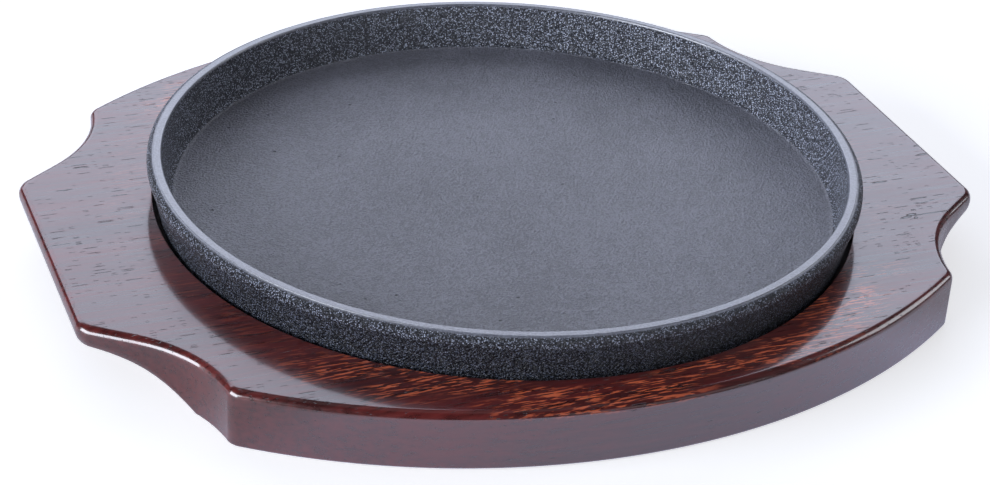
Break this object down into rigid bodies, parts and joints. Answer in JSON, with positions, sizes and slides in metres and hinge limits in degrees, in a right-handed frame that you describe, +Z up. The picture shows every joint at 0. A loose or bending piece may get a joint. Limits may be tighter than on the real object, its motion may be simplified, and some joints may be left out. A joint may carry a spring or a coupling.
{
  "type": "sizzle platter",
  "caption": "Round cast-iron sizzle plate resting in the round recess of a lacquered wooden underliner board with straight ends, bowed sides and hollow notches.",
  "frame": {"origin": "middle of the board's underside, under the centre of the round plate", "axes": "+X along the board's length and its grain, +Y across it, +Z up out of the plate"},
  "size_m": [0.287, 0.245, 0.032],
  "materials": {
    "stained_wood": "dark red-brown stain under a glossy clear lacquer, open pores along the grain",
    "cast_iron": "black seasoned casting, pebbled walls, finer floor, smooth rim"
  },
  "bodies": {
    "root": {"wood_underliner": "stained_wood", "sizzle_plate": "cast_iron"}
  },
  "joints": []
}
